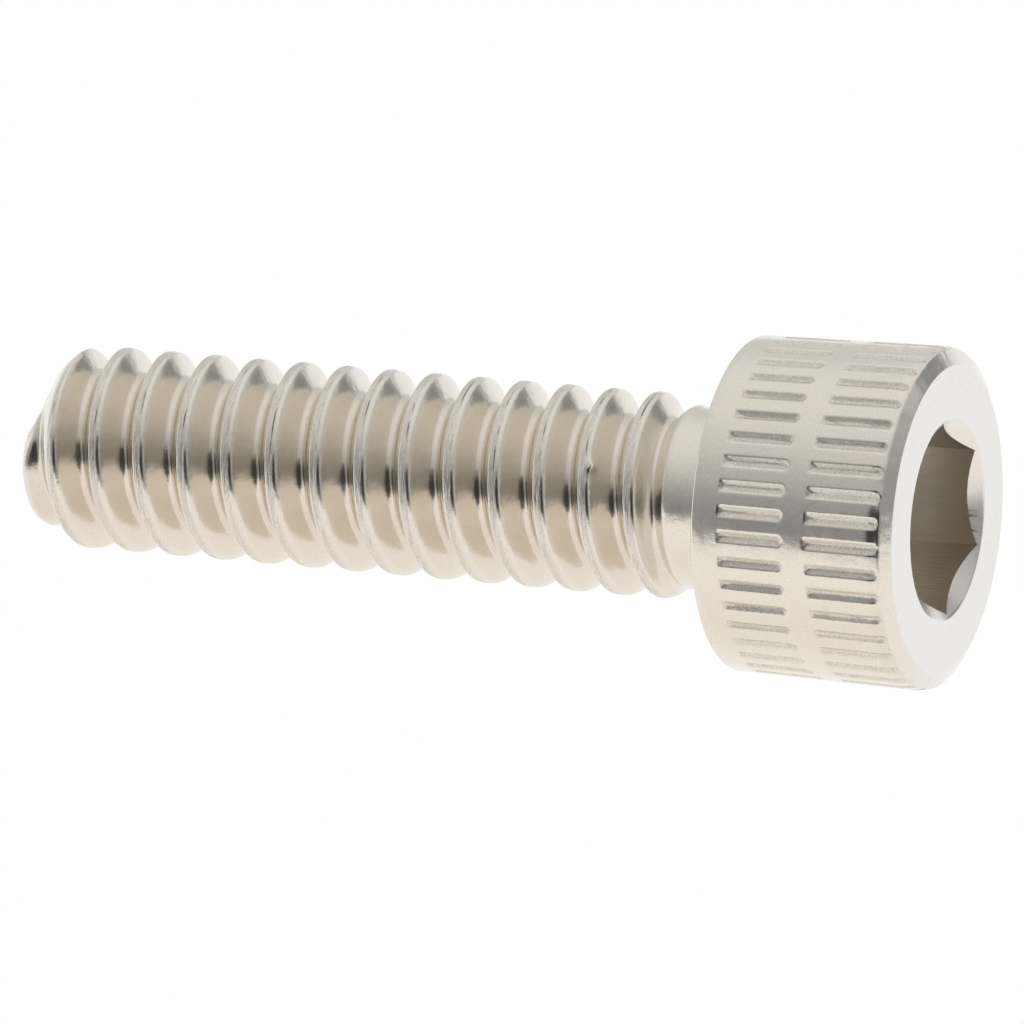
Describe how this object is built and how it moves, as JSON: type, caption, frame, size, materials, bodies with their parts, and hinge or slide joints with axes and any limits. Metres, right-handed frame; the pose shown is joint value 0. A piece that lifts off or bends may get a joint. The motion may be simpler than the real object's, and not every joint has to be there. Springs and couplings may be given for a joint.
{
  "type": "hex socket cap screw",
  "caption": "Socket cap screw with a knurled cylindrical head, hexagon socket, short plain neck and full right-hand thread.",
  "frame": {"origin": "centre of the bearing face under the head, on the screw's axis", "axes": "+Z along the axis from the head to the threaded end; the screw stands on its head; +X through a corner of the hexagon socket"},
  "size_m": [0.0056, 0.0056, 0.0159],
  "materials": {
    "stainless_steel": "bright stainless steel, formed head and rolled thread"
  },
  "bodies": {
    "root": {"screw": "stainless_steel"}
  },
  "joints": []
}
